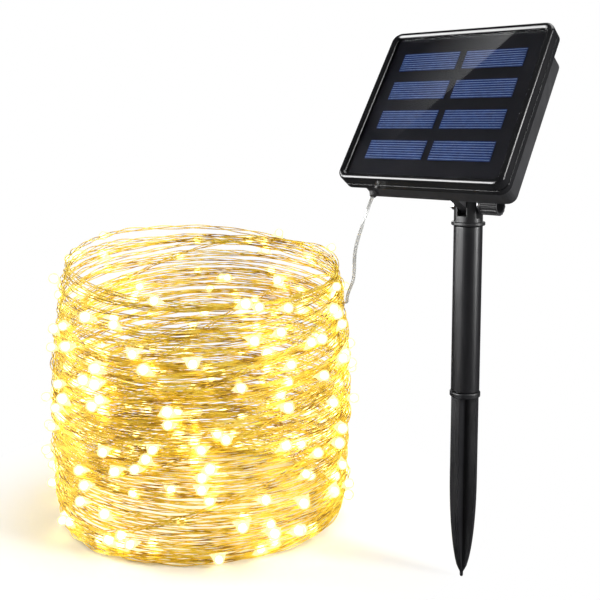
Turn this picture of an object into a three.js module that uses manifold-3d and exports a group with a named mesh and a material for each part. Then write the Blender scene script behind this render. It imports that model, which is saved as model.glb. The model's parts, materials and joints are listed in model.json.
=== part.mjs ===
// Solar string lights: a solar panel head on a pole with a ground stake, and a coil of wire lights.
// Millimetres, +Z up. The origin is the tip of the ground stake; the panel's width runs along X
// and the panel faces -Y, leaning back.
import * as THREE from "three";
import { mergeVertices } from "three/addons/utils/BufferGeometryUtils.js";
import Module from "manifold-3d";

const wasm = await Module();
wasm.setup();

// ---- Driving dimensions ----
const GAP = 0.3; // clearance between neighbouring pieces

// Ground stake and pole
const STAKE_BLADE_R = 8.4;
const STAKE_BLADE_THICK = 2.8;
const STAKE_NIB_R = 1.0;
const STAKE_NIB_H = 3;
const STAKE_TAPER_H = 62;
const STAKE_TOP_Z = 110.8;
const STAKE_FLANGE_R = 8.85;
const STAKE_FLANGE_H = 3.2;
const SPIGOT_R = 6.6;
const SPIGOT_LENGTH = 18;
const TUBE_R = 8.25;
const TUBE_BORE_R = SPIGOT_R + GAP;
const TUBE_TOP_Z = 210.9;

// Swivelling cap, tilt joint and hand knob
const CAP_FLANGE_R = 9.65;
const CAP_FLANGE_H = 2.1;
const TILT_AXIS_Z = 223.5;
const CAP_FLAT_X = 7.2;
const TONGUE_THICK = 5.2;
const TONGUE_R = 6.2;
const BOLT_R = 2.0;
const BOLT_HOLE_R = BOLT_R + GAP;
const BOLT_HEAD_R = 4.0;
const BOLT_HEAD_H = 2.8;
const WASHER_R = 4.6;
const WASHER_H = 0.9;
const KNOB_R = 5.8;
const KNOB_LENGTH = 11.4;
const KNOB_FLOOR = 2.3;
const KNOB_RECESS_R = 4.5;
const KNOB_GROOVES = 14;
const NUT_H = 3.2;

// Panel head, measured from the tilt axis before it leans back. Depth is counted from the front rim.
const LEAN_DEG = 34.5; // elevation of the panel's normal
const PANEL_X = -10;
const PANEL_FRONT_Y = -44.4;
const PANEL_Z = 39.8;
const PANEL_HALF = 52.5;
const PANEL_CORNER_R = 6;
const BAND_DEPTH = 11;
const HEAD_DEPTH = 21.6;
const WALL = 1.8;
const WINDOW_HALF = 48.4;
const WINDOW_RECESS = 1.6;
const WINDOW_CORNER_R = 2.4;
const RIM_ARC_STEPS = 8;
const BOSS_END = 17;
const PILOT_R = 1.5;
// The rim's rounded section, as [depth, distance in from the outer edge].
const RIM_OUTER_ROUND = [[0, 1.7], [0.12, 1.15], [0.45, 0.6], [0.95, 0.2], [1.7, 0]];
// The rim's slope down to the window, as [depth, distance out from the window's edge].
const RIM_INNER_ROUND = [[-0.5, 2.9], [0, 2.35], [0.18, 1.6], [0.5, 0.85], [0.95, 0.3], [1.4, 0]];
const LEDGE_DEPTH = 4.8;
const LEDGE_HALF = 45.5;
const GROOVE_DEPTH = 6.2;
const GROOVE_WIDTH = 0.7;
const COVER_THICK = 0.8;
const CELL_W = 37.7;
const CELL_H = 12.6;
const CELL_THICK = 0.3;
const CELL_PITCH_X = 42;
const CELL_PITCH_Z = 20.6;
const BOARD_THICK = 1.2;

// Back cover footprint: flush with the panel at the right and bottom, stepped in at the left and top
const BOX = { x0: -51.3, x1: 41.7, z0: -11.9, z1: 80.3 };
const BOX_CORNER_R = 5;
const LIP_FRONT = 9.5;
const LIP_BACK = 13;
const SCREW_INSET = 4.6;
const BOSS_R = 3.2;
const COVER_SCREWS = [
  [BOX.x0 + SCREW_INSET, 4],
  [BOX.x0 + SCREW_INSET, BOX.z1 - SCREW_INSET],
  [BOX.x1 - SCREW_INSET, BOX.z0 + SCREW_INSET],
  [BOX.x1 - SCREW_INSET, BOX.z1 - SCREW_INSET],
];
const BRACKET_SCREW_X = [-9.5, 9.5];
const BUTTONS = [
  ["power", -34, 30],
  ["mode", -20, 30],
];
const BUTTON_R = 4.5;
const BUTTON_PROUD = 1.2;
const GLAND_X = -45;
const GLAND_DEPTH = 16.5;
const GLAND_PROUD = 2.7;
const BATTERY_R = 7;
const BATTERY_LENGTH = 49;
const BATTERY_X0 = -37;
const BATTERY_Z = 59;
const BATTERY_DEPTH = 12.5;
const BATTERY_NUB_R = 2.7;
const CONTACT_HALF = 5.5;
const CONTACT_THICK = 0.5;
const SPRING_BASE_R = 4.2;
const SPRING_TIP_R = 2.4;
const SPRING_TURNS = 3;
const SPRING_LENGTH = 3.2;
const SPRING_WIRE_R = 0.35;

// Inside the back cover: the circuit board on two posts, its switches, and the battery's end stops
const BOARD_BOX = { x0: -43, x1: -11, z0: 20, z1: 42 };
const BOARD_FRONT = 13.4;
const BOARD_BACK = 14.6;
const POST_X = [-40, -14];
const POST_Z = 23;
const SWITCH_HALF = 3;
const SWITCH_BACK = 16.8;
const PLUNGER_R = 1.6;
const BUTTON_FLANGE_FRONT = 18.5;
const BUTTON_FLANGE = 1.1;
const STOP_FRONT = 9;
const STOP_THICK = 1.5;

// Screws
const CLEAR_HOLE_R = 1.6;
const BRACKET_HOLE_R = 1.7;
const SCREW_HEAD_HOLE_R = 2.9;
const SCREW_SLOT_HALF = 0.3;

// Hinge bracket
const BRACKET_THICK = 2.6;
const BRACKET_HALF_X = 14;
const BRACKET_HALF_Z = 9.5;
const BRACKET_ROOT_HALF = 7.6;
const BRACKET_WEB_HALF = 5.2;
const BRACKET_WEB_REACH = 6;

// Lead and light string
const LEAD_D = 2.4;
const COIL_X = -195.5;
const COIL_Y = -22.3;
const COIL_WALL = 6;
const COIL_OUTLINE = [
  [98, 0],
  [102, 22],
  [104, 70],
  [103, 115],
  [98.5, 155],
  [94.5, 178],
];
// The lead's route: from the gland down to the bend, and from there to the coil's rim
const LEAD_UPPER = [
  [-45, -31.5, 226.9],
  [-45, -34.6, 222.4],
  [-45.3, -37, 217.4],
  [-46.6, -38, 212.4],
  [-49.2, -37, 207.4],
  [-52.8, -34.1, 202.8],
  [-56.9, -30, 198.6],
];
const LEAD_LOWER = [
  [-57.1, -29.8, 198.4],
  [-61.7, -24.7, 194],
  [-66.7, -18.6, 189.2],
  [-71.7, -12, 184.3],
  [-76.7, -5.2, 179.2],
  [-81.7, 1.4, 174.2],
  [-86.7, 7.7, 169.3],
  [-92.1, 13.4, 164.6],
  [-97.6, 18.8, 160.2],
  [-102.8, 23.9, 155.8],
  [-108.2, 30.2, 151.8],
  [-113.6, 37.2, 148.1],
  [-118.9, 44.3, 144.9],
  [-125.4, 51.6, 142.1],
  [-132.5, 58.4, 139.8],
  [-140.3, 64.4, 138],
];
const SPLICE_R = 1.6;
const SPLICE_LENGTH = 14;

// ---- Materials ----
const plastic = (color, roughness) => new THREE.MeshStandardMaterial({ color, roughness, metalness: 0 });
const metal = (color, roughness) => new THREE.MeshStandardMaterial({ color, roughness, metalness: 1 });
const GLOSS_BLACK = plastic(0x101012, 0.18);
const MATTE_BLACK = plastic(0x1c1c1e, 0.5);
const BOARD_BLACK = plastic(0x0a0a10, 0.35);
const CELL_BLUE = plastic(0x3a5a9c, 0.3);
const CLEAR_SHEET = new THREE.MeshStandardMaterial({
  color: 0xf2f6f8,
  roughness: 0.05,
  metalness: 0,
  transparent: true,
  opacity: 0.3,
});
const STEEL = metal(0xb8bcc0, 0.35);
const GREEN_BOARD = plastic(0x1e5a34, 0.5);
const CELL_WRAP = plastic(0x2a7a4c, 0.45);
const RUBBER = plastic(0x18181a, 0.8);
const CLEAR_PVC = plastic(0xd8d8d2, 0.3);
const STRING_WIRE = metal(0xd8c08a, 0.35);

// ---- Solids ----
function toSolid(geometry) {
  const bare = geometry.index ? geometry.toNonIndexed() : geometry.clone();
  bare.deleteAttribute("normal");
  bare.deleteAttribute("uv");
  const merged = mergeVertices(bare, 1e-4);
  const vertProperties = merged.attributes.position.array;
  return new wasm.Manifold(new wasm.Mesh({ numProp: 3, vertProperties, triVerts: merged.index.array }));
}

// Joins the geometries in add to base, then cuts those in cut out of it, then keeps what lies in keep.
function combine(base, { add = [], cut = [], keep = null }) {
  let solid = toSolid(base);
  for (const piece of add) solid = solid.add(toSolid(piece));
  for (const piece of cut) solid = solid.subtract(toSolid(piece));
  if (keep) solid = solid.intersect(toSolid(keep));
  const { vertProperties, triVerts } = solid.getMesh();
  const geometry = new THREE.BufferGeometry();
  geometry.setAttribute("position", new THREE.BufferAttribute(vertProperties, 3));
  geometry.setIndex(new THREE.BufferAttribute(triVerts, 1));
  geometry.computeVertexNormals();
  return geometry;
}

// A body of revolution about Z, from [radius, z] points that start and end on the axis or close up.
function turned(points, segments = 40) {
  const profile = points.map(([r, z]) => new THREE.Vector2(r, z));
  return new THREE.LatheGeometry(profile, segments).rotateX(Math.PI / 2);
}

// Cylinders along each axis, from one end to the other.
const rodY = (r, x, z, y0, y1, sides = 24) =>
  new THREE.CylinderGeometry(r, r, y1 - y0, sides).translate(x, (y0 + y1) / 2, z);
const rodX = (r, y, z, x0, x1, sides = 24) =>
  new THREE.CylinderGeometry(r, r, x1 - x0, sides).rotateZ(Math.PI / 2).translate((x0 + x1) / 2, y, z);
const rodZ = (r, x, y, z0, z1, sides = 24) =>
  new THREE.CylinderGeometry(r, r, z1 - z0, sides).rotateX(Math.PI / 2).translate(x, y, (z0 + z1) / 2);

function block(x0, x1, y0, y1, z0, z1) {
  const box = new THREE.BoxGeometry(x1 - x0, y1 - y0, z1 - z0);
  return box.translate((x0 + x1) / 2, (y0 + y1) / 2, (z0 + z1) / 2);
}

// An outline in Y and Z, drawn out along X between x0 and x1.
function sideProfile(shape, x0, x1) {
  const options = { depth: x1 - x0, bevelEnabled: false, curveSegments: 16 };
  const extruded = new THREE.ExtrudeGeometry(shape, options);
  const axes = new THREE.Matrix4().makeBasis(
    new THREE.Vector3(0, 1, 0),
    new THREE.Vector3(0, 0, 1),
    new THREE.Vector3(1, 0, 0),
  );
  return extruded.applyMatrix4(axes).translate(x0, 0, 0);
}

// ---- Head solids, made of rounded rectangles stacked in depth ----
// Depth w runs back from the front rim, so Y = PANEL_FRONT_Y + w.
const depthY = (w) => PANEL_FRONT_Y + w;
const square = (half) => ({
  x0: PANEL_X - half,
  x1: PANEL_X + half,
  z0: PANEL_Z - half,
  z1: PANEL_Z + half,
});
const shrink = (box, inset) => ({
  x0: box.x0 + inset,
  x1: box.x1 - inset,
  z0: box.z0 + inset,
  z1: box.z1 - inset,
});

function roundedOutline(box, radius, arcSteps) {
  const corners = [
    [box.x1 - radius, box.z0 + radius, -Math.PI / 2],
    [box.x1 - radius, box.z1 - radius, 0],
    [box.x0 + radius, box.z1 - radius, Math.PI / 2],
    [box.x0 + radius, box.z0 + radius, Math.PI],
  ];
  const points = [];
  for (const [cx, cz, start] of corners)
    for (let i = 0; i <= arcSteps; i++) {
      const angle = start + (i / arcSteps) * (Math.PI / 2);
      points.push([cx + radius * Math.cos(angle), cz + radius * Math.sin(angle)]);
    }
  return points;
}

// levels: [depth, box, corner radius], from front to back.
function stacked(levels, arcSteps = 5) {
  const rings = levels.map(([w, box, radius]) => ({
    y: depthY(w),
    middle: [(box.x0 + box.x1) / 2, (box.z0 + box.z1) / 2],
    points: roundedOutline(box, radius, arcSteps),
  }));
  const count = rings[0].points.length;
  const corners = [];
  const vertex = (ring, i) => [ring.points[i % count][0], ring.y, ring.points[i % count][1]];
  const centre = (ring) => [ring.middle[0], ring.y, ring.middle[1]];
  for (let i = 0; i < count; i++) {
    for (let level = 0; level + 1 < rings.length; level++) {
      const [front, back] = [rings[level], rings[level + 1]];
      corners.push(vertex(front, i), vertex(back, i), vertex(front, i + 1));
      corners.push(vertex(front, i + 1), vertex(back, i), vertex(back, i + 1));
    }
    const last = rings[rings.length - 1];
    corners.push(centre(rings[0]), vertex(rings[0], i), vertex(rings[0], i + 1));
    corners.push(centre(last), vertex(last, i + 1), vertex(last, i));
  }
  const geometry = new THREE.BufferGeometry();
  geometry.setAttribute("position", new THREE.Float32BufferAttribute(corners.flat(), 3));
  return geometry;
}

const slab = (box, radius, w0, w1) => stacked([[w0, box, radius], [w1, box, radius]]);
const rodDepth = (r, x, z, w0, w1, sides) => rodY(r, x, z, depthY(w0), depthY(w1), sides);

// ---- The scene graph ----
const model = new THREE.Group();
const head = new THREE.Group();
head.position.z = TILT_AXIS_Z;
head.rotation.x = -THREE.MathUtils.degToRad(LEAN_DEG);
model.add(head);

function place(group, name, geometry, material) {
  const mesh = new THREE.Mesh(geometry, material);
  mesh.name = name;
  group.add(mesh);
}

// ---- Stake and pole ----
function stakeRadius(z) {
  const rise = Math.min(Math.max((z - STAKE_NIB_H) / (STAKE_TAPER_H - STAKE_NIB_H), 0), 1);
  return STAKE_NIB_R + (STAKE_BLADE_R - STAKE_NIB_R) * Math.sin((Math.PI / 2) * rise ** 0.65);
}

function groundStake() {
  const flangeTop = STAKE_TOP_Z + STAKE_FLANGE_H;
  const bladeTop = STAKE_TOP_Z + 0.5;
  const arm = STAKE_BLADE_THICK / 2;
  const reach = STAKE_BLADE_R + 1;
  const envelope = [[0, 0], [STAKE_NIB_R * 0.7, 0.3], [STAKE_NIB_R, 1]];
  const taperSteps = 14;
  for (let i = 0; i <= taperSteps; i++) {
    const z = STAKE_NIB_H + ((STAKE_TAPER_H - STAKE_NIB_H) * i) / taperSteps;
    envelope.push([stakeRadius(z), z]);
  }
  envelope.push([STAKE_BLADE_R, bladeTop], [0, bladeTop]);
  const cross = combine(block(-reach, reach, -arm, arm, -1, bladeTop), {
    add: [block(-arm, arm, -reach, reach, -1, bladeTop)],
    keep: turned(envelope, 48),
  });
  const plug = turned([
    [0, STAKE_TOP_Z],
    [STAKE_FLANGE_R - 0.5, STAKE_TOP_Z],
    [STAKE_FLANGE_R, STAKE_TOP_Z + 0.5],
    [STAKE_FLANGE_R, flangeTop - 0.5],
    [STAKE_FLANGE_R - 0.5, flangeTop],
    [SPIGOT_R, flangeTop],
    [SPIGOT_R, flangeTop + SPIGOT_LENGTH - 1],
    [SPIGOT_R - 1, flangeTop + SPIGOT_LENGTH],
    [0, flangeTop + SPIGOT_LENGTH],
  ]);
  return combine(cross, { add: [plug] });
}

function poleTube() {
  const bottom = STAKE_TOP_Z + STAKE_FLANGE_H + GAP;
  return turned([
    [TUBE_BORE_R, bottom],
    [TUBE_R - 0.3, bottom],
    [TUBE_R, bottom + 0.3],
    [TUBE_R, TUBE_TOP_Z - 0.3],
    [TUBE_R - 0.3, TUBE_TOP_Z],
    [TUBE_BORE_R, TUBE_TOP_Z],
    [TUBE_BORE_R, bottom],
  ]);
}

place(model, "ground_stake", groundStake(), MATTE_BLACK);
place(model, "pole_tube", poleTube(), MATTE_BLACK);

// ---- Swivelling cap with two ears, and what clamps the tilt joint ----
function swivelCap() {
  const flangeZ = TUBE_TOP_Z + GAP;
  const barrelZ = flangeZ + CAP_FLANGE_H;
  const top = TILT_AXIS_Z + TUBE_R;
  const body = turned([
    [0, flangeZ - SPIGOT_LENGTH],
    [SPIGOT_R - 1, flangeZ - SPIGOT_LENGTH],
    [SPIGOT_R, flangeZ - SPIGOT_LENGTH + 1],
    [SPIGOT_R, flangeZ],
    [CAP_FLANGE_R - 0.4, flangeZ],
    [CAP_FLANGE_R, flangeZ + 0.4],
    [CAP_FLANGE_R, barrelZ - 0.4],
    [CAP_FLANGE_R - 0.4, barrelZ],
    [TUBE_R, barrelZ],
    [TUBE_R, top - 2.5],
    [TUBE_R - 0.8, top - 0.8],
    [TUBE_R - 2.5, top],
    [0, top],
  ]);
  const ears = new THREE.Shape();
  ears.moveTo(-15, flangeZ - SPIGOT_LENGTH - 1);
  ears.lineTo(15, flangeZ - SPIGOT_LENGTH - 1);
  ears.lineTo(15, barrelZ + 1);
  ears.lineTo(TUBE_R, barrelZ + 1);
  ears.lineTo(TUBE_R, TILT_AXIS_Z);
  ears.absarc(0, TILT_AXIS_Z, TUBE_R, 0, Math.PI, false);
  ears.lineTo(-TUBE_R, barrelZ + 1);
  ears.lineTo(-15, barrelZ + 1);
  const slotHalf = TONGUE_THICK / 2 + GAP;
  const slotFloor = TILT_AXIS_Z - TONGUE_R - GAP - 0.2;
  return combine(body, {
    keep: sideProfile(ears, -15, 15),
    cut: [
      block(-slotHalf, slotHalf, -20, 20, slotFloor, top + 5),
      block(CAP_FLAT_X, 20, -20, 20, barrelZ + 2.4, top + 5),
      block(-20, -CAP_FLAT_X, -20, 20, barrelZ + 2.4, top + 5),
      rodX(BOLT_HOLE_R, 0, TILT_AXIS_Z, -20, 20),
    ],
  });
}

const washerX = CAP_FLAT_X + GAP;
const knobX = washerX + WASHER_H + GAP;
const nutX = knobX + KNOB_FLOOR + GAP;

function tiltBolt() {
  const headX = -CAP_FLAT_X - GAP;
  const hexHead = rodX(BOLT_HEAD_R, 0, TILT_AXIS_Z, headX - BOLT_HEAD_H, headX, 6);
  return combine(hexHead, {
    add: [rodX(BOLT_R, 0, TILT_AXIS_Z, headX - 1, nutX + NUT_H + 2, 20)],
  });
}

function ringX(outer, inner, x0, x1, sides) {
  return combine(rodX(outer, 0, TILT_AXIS_Z, x0, x1, sides), {
    cut: [rodX(inner, 0, TILT_AXIS_Z, x0 - 1, x1 + 1, 20)],
  });
}

function clampKnob() {
  const end = knobX + KNOB_LENGTH;
  const grooves = [];
  for (let i = 0; i < KNOB_GROOVES; i++) {
    const angle = (i / KNOB_GROOVES) * 2 * Math.PI;
    const y = (KNOB_R + 0.35) * Math.cos(angle);
    const z = TILT_AXIS_Z + (KNOB_R + 0.35) * Math.sin(angle);
    grooves.push(rodX(0.75, y, z, knobX + 1.6, end + 1, 10));
  }
  return combine(rodX(KNOB_R, 0, TILT_AXIS_Z, knobX, end, 56), {
    cut: [
      ...grooves,
      rodX(BOLT_HOLE_R, 0, TILT_AXIS_Z, knobX - 1, end + 1),
      rodX(KNOB_RECESS_R, 0, TILT_AXIS_Z, knobX + KNOB_FLOOR, end + 1, 32),
    ],
  });
}

place(model, "swivel_cap", swivelCap(), MATTE_BLACK);
place(model, "tilt_bolt", tiltBolt(), STEEL);
place(model, "bolt_washer", ringX(WASHER_R, BOLT_HOLE_R, washerX, washerX + WASHER_H, 32), STEEL);
place(model, "clamp_knob", clampKnob(), MATTE_BLACK);
place(model, "knob_nut", ringX(BOLT_HEAD_R, BOLT_HOLE_R, nutX, nutX + NUT_H, 6), STEEL);

// ---- Panel: front housing, clear sheet, solar cells and their board ----
const opening = shrink(BOX, WALL + 0.1); // where the back cover's lip enters the front housing

function frontHousing() {
  const outer = stacked([
    ...RIM_OUTER_ROUND.map(([w, inset]) => [w, square(PANEL_HALF - inset), PANEL_CORNER_R - inset]),
    [BAND_DEPTH - 0.4, square(PANEL_HALF), PANEL_CORNER_R],
    [BAND_DEPTH, square(PANEL_HALF - 0.4), PANEL_CORNER_R - 0.4],
  ], RIM_ARC_STEPS);
  const window = stacked([
    ...RIM_INNER_ROUND.map(([w, out]) => [w, square(WINDOW_HALF + out), WINDOW_CORNER_R + out]),
    [LEDGE_DEPTH, square(WINDOW_HALF), WINDOW_CORNER_R],
  ], RIM_ARC_STEPS);
  const grooveEnd = GROOVE_DEPTH + GROOVE_WIDTH;
  const groove = combine(slab(square(PANEL_HALF + 3), PANEL_CORNER_R + 3, GROOVE_DEPTH, grooveEnd), {
    cut: [slab(square(PANEL_HALF - 0.7), PANEL_CORNER_R - 0.7, GROOVE_DEPTH - 1, grooveEnd + 1)],
  });
  const bosses = COVER_SCREWS.map(([x, z]) => rodDepth(BOSS_R, x, z, BAND_DEPTH - 1.6, BOSS_END));
  const pilots = COVER_SCREWS.map(([x, z]) => rodDepth(PILOT_R, x, z, BAND_DEPTH, BOSS_END + 1, 16));
  const hollow = combine(outer, {
    cut: [
      window,
      groove,
      slab(square(LEDGE_HALF), 2, LEDGE_DEPTH - 0.5, BAND_DEPTH - WALL),
      slab(opening, BOX_CORNER_R - WALL, BAND_DEPTH - WALL - 1, BAND_DEPTH + 1),
    ],
  });
  return combine(hollow, { add: bosses, cut: pilots });
}

function solarCells() {
  const cellDepth = WINDOW_RECESS + COVER_THICK + GAP;
  let number = 1;
  for (const row of [1.5, 0.5, -0.5, -1.5])
    for (const column of [-0.5, 0.5]) {
      const x = PANEL_X + column * CELL_PITCH_X;
      const z = PANEL_Z + row * CELL_PITCH_Z;
      const box = { x0: x - CELL_W / 2, x1: x + CELL_W / 2, z0: z - CELL_H / 2, z1: z + CELL_H / 2 };
      place(head, `pv_cell_${number}`, slab(box, 0.3, cellDepth, cellDepth + CELL_THICK), CELL_BLUE);
      number += 1;
    }
}

const sheetBox = square(WINDOW_HALF - GAP);
const boardFront = WINDOW_RECESS + COVER_THICK + CELL_THICK + 2 * GAP;
place(head, "front_housing", frontHousing(), GLOSS_BLACK);
place(head, "clear_sheet", slab(sheetBox, 2.1, WINDOW_RECESS, WINDOW_RECESS + COVER_THICK), CLEAR_SHEET);
place(head, "panel_board", slab(sheetBox, 2.1, boardFront, boardFront + BOARD_THICK), BOARD_BLACK);
solarCells();

// ---- Back cover with its screws ----
const backInside = HEAD_DEPTH - WALL;
const screwFloor = HEAD_DEPTH - 1.6;

function backCover() {
  const outer = stacked([
    [BAND_DEPTH + GAP, BOX, BOX_CORNER_R],
    [HEAD_DEPTH - 0.7, BOX, BOX_CORNER_R],
    [HEAD_DEPTH - 0.2, shrink(BOX, 0.3), BOX_CORNER_R - 0.3],
    [HEAD_DEPTH, shrink(BOX, 0.7), BOX_CORNER_R - 0.7],
  ]);
  const lip = combine(slab(shrink(BOX, 2.2), 3, LIP_FRONT, LIP_BACK), {
    add: [slab(shrink(BOX, 1), 4, BAND_DEPTH + GAP + 0.4, LIP_BACK + 0.5)],
    cut: [slab(shrink(BOX, 3.4), 1.8, LIP_FRONT - 1, LIP_BACK + 2)],
  });
  const shell = combine(outer, {
    cut: [slab(shrink(BOX, WALL), BOX_CORNER_R - WALL, BAND_DEPTH, backInside)],
  });
  const pads = COVER_SCREWS.map(([x, z]) => rodDepth(BOSS_R + 0.4, x, z, BOSS_END + GAP, backInside + 0.5));
  const battery = { z0: BATTERY_Z - 6, z1: BATTERY_Z + 6 };
  const stops = [BATTERY_X0 - 6.3, BATTERY_X0 + BATTERY_LENGTH + 1.1].map((x) =>
    block(x, x + STOP_THICK, depthY(STOP_FRONT), depthY(backInside + 0.5), battery.z0, battery.z1),
  );
  const postFront = BOARD_BACK + 0.2 + GAP;
  const posts = POST_X.map((x) => rodDepth(CLEAR_HOLE_R, x, POST_Z, postFront, backInside + 0.5, 12));
  return combine(shell, {
    add: [lip, ...pads, ...stops, ...posts],
    cut: [
      ...COVER_SCREWS.map(([x, z]) => rodDepth(BOSS_R + GAP, x, z, LIP_FRONT - 1, BOSS_END + GAP)),
      ...COVER_SCREWS.map(([x, z]) => rodDepth(CLEAR_HOLE_R, x, z, BOSS_END - 1, HEAD_DEPTH + 1, 16)),
      ...COVER_SCREWS.map(([x, z]) => rodDepth(SCREW_HEAD_HOLE_R, x, z, screwFloor, HEAD_DEPTH + 1)),
      ...BUTTONS.map(([, x, z]) => rodDepth(BUTTON_R + GAP, x, z, backInside - 1, HEAD_DEPTH + 1)),
      ...BRACKET_SCREW_X.map((x) => rodDepth(CLEAR_HOLE_R, x, 0, backInside - 1, HEAD_DEPTH + 1, 16)),
      rodZ(2.1, GLAND_X, depthY(GLAND_DEPTH), BOX.z0 - 1, BOX.z0 + WALL + 4),
    ],
  });
}

// A pan-head screw with a cross recess. It points forwards, and its head's top is at depth w.
function screw(headR, headH, shankR, shankLength, x, z, w) {
  const half = headR * 0.62;
  const slot = SCREW_SLOT_HALF;
  return combine(rodDepth(headR, x, z, w - headH, w, 20), {
    add: [rodDepth(shankR, x, z, w - headH - shankLength, w - headH + 0.2, 12)],
    cut: [
      block(x - half, x + half, depthY(w - headH * 0.6), depthY(w + 1), z - slot, z + slot),
      block(x - slot, x + slot, depthY(w - headH * 0.6), depthY(w + 1), z - half, z + half),
    ],
  });
}

place(head, "back_cover", backCover(), MATTE_BLACK);
COVER_SCREWS.forEach(([x, z], i) =>
  place(head, `cover_screw_${i + 1}`, screw(2.5, 1.2, 1.2, 8, x, z, HEAD_DEPTH - 0.1), STEEL),
);

// ---- Hinge bracket: a plate on the back cover with one tongue that enters the cap ----
function hingeBracket() {
  const plateFront = HEAD_DEPTH + GAP;
  const plateEnd = plateFront + BRACKET_THICK;
  const plateBack = depthY(plateEnd);
  const outline = new THREE.Shape();
  outline.moveTo(plateBack - 0.5, -BRACKET_ROOT_HALF);
  outline.lineTo(-TONGUE_R * 0.3, -TONGUE_R * 0.954);
  outline.absarc(0, 0, TONGUE_R, -Math.PI / 2 - 0.3, Math.PI / 2 + 0.3, false);
  outline.lineTo(plateBack - 0.5, BRACKET_ROOT_HALF);
  const plate = { x0: -BRACKET_HALF_X, x1: BRACKET_HALF_X, z0: -BRACKET_HALF_Z, z1: BRACKET_HALF_Z };
  const web = new THREE.Shape();
  web.moveTo(plateBack - 0.5, 1 - BRACKET_ROOT_HALF);
  web.lineTo(plateBack + BRACKET_WEB_REACH, 0);
  web.lineTo(plateBack - 0.5, BRACKET_ROOT_HALF - 1);
  return combine(slab(plate, 2.5, plateFront, plateEnd), {
    add: [
      sideProfile(outline, -TONGUE_THICK / 2, TONGUE_THICK / 2),
      sideProfile(web, -BRACKET_WEB_HALF, BRACKET_WEB_HALF),
    ],
    cut: [
      rodX(BOLT_HOLE_R, 0, 0, -10, 10),
      ...BRACKET_SCREW_X.map((x) => rodDepth(BRACKET_HOLE_R, x, 0, plateFront - 1, plateEnd + 1, 16)),
    ],
  });
}

place(head, "hinge_bracket", hingeBracket(), MATTE_BLACK);
BRACKET_SCREW_X.forEach((x, i) =>
  place(head, `bracket_screw_${i + 1}`, screw(2.6, 1.5, 1.3, 7, x, 0, HEAD_DEPTH + 4.7), STEEL),
);

// ---- Battery, its contacts, circuit board, switches and buttons ----
function batteryCell() {
  const x1 = BATTERY_X0 + BATTERY_LENGTH;
  const y = depthY(BATTERY_DEPTH);
  return combine(rodX(BATTERY_R, y, BATTERY_Z, BATTERY_X0, x1 - 1, 28), {
    add: [rodX(BATTERY_NUB_R, y, BATTERY_Z, x1 - 2, x1, 16)],
  });
}

class ConeSpring extends THREE.Curve {
  getPoint(t) {
    const radius = SPRING_BASE_R + (SPRING_TIP_R - SPRING_BASE_R) * t;
    const angle = t * SPRING_TURNS * 2 * Math.PI;
    return new THREE.Vector3(SPRING_LENGTH * t, radius * Math.cos(angle), radius * Math.sin(angle));
  }
}

// The flat plate that a battery contact is made from. Its near face is at x.
function contactAt(x) {
  const y = depthY(BATTERY_DEPTH);
  const z = BATTERY_Z;
  const half = CONTACT_HALF;
  return block(x, x + CONTACT_THICK, y - half, y + half, z - half, z + half);
}

function batterySpring() {
  const x0 = BATTERY_X0 - 4.5;
  const y = depthY(BATTERY_DEPTH);
  const section = new THREE.Shape();
  section.absarc(0, 0, SPRING_WIRE_R, 0, 2 * Math.PI);
  const options = { steps: 42, curveSegments: 3, extrudePath: new ConeSpring() };
  const wire = new THREE.ExtrudeGeometry(section, options);
  return combine(contactAt(x0), { add: [wire.translate(x0 + 0.6, y, BATTERY_Z)] });
}

place(head, "battery_cell", batteryCell(), CELL_WRAP);
place(head, "battery_spring", batterySpring(), STEEL);
place(head, "battery_contact", contactAt(BATTERY_X0 + BATTERY_LENGTH + GAP), STEEL);
place(head, "circuit_board", slab(BOARD_BOX, 1, BOARD_FRONT, BOARD_BACK), GREEN_BOARD);
for (const [name, x, z] of BUTTONS) {
  const half = SWITCH_HALF;
  const bodyBox = { x0: x - half, x1: x + half, z0: z - half, z1: z + half };
  const body = slab(bodyBox, 0.4, BOARD_BACK + GAP, SWITCH_BACK);
  const plunger = rodDepth(PLUNGER_R, x, z, SWITCH_BACK - 0.2, SWITCH_BACK + 0.5, 16);
  place(head, `${name}_switch`, combine(body, { add: [plunger] }), STEEL);
  const flange = rodDepth(BUTTON_R + BUTTON_FLANGE, x, z, BUTTON_FLANGE_FRONT, backInside - 0.4);
  const crown = HEAD_DEPTH + BUTTON_PROUD;
  const cap = combine(flange, {
    add: [
      rodDepth(BUTTON_R, x, z, BUTTON_FLANGE_FRONT + 0.5, crown - 0.4),
      rodDepth(BUTTON_R - 0.5, x, z, crown - 0.6, crown),
    ],
  });
  place(head, `${name}_button`, cap, RUBBER);
}

// ---- Cable gland in the back cover's bottom wall ----
function cableGland() {
  const wallOut = BOX.z0;
  const wallIn = BOX.z0 + WALL;
  const end = wallOut - GLAND_PROUD;
  return turned([
    [1.0, end],
    [1.7, end],
    [2.5, wallOut - 1],
    [2.8, wallOut - GAP],
    [1.8, wallOut - GAP],
    [1.8, wallIn + GAP],
    [2.4, wallIn + GAP],
    [2.4, wallIn + 1.3],
    [1.0, wallIn + 1.3],
    [1.0, end],
  ], 24).translate(GLAND_X, depthY(GLAND_DEPTH), 0);
}

place(head, "cable_gland", cableGland(), RUBBER);

// ---- Lead, splice and the coil of lights ----
function leadTube(points, steps) {
  const route = new THREE.CatmullRomCurve3(points.map((p) => new THREE.Vector3(...p)));
  const section = new THREE.Shape();
  section.absarc(0, 0, LEAD_D / 2, 0, 2 * Math.PI);
  return new THREE.ExtrudeGeometry(section, { steps, curveSegments: 4, extrudePath: route });
}

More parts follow.
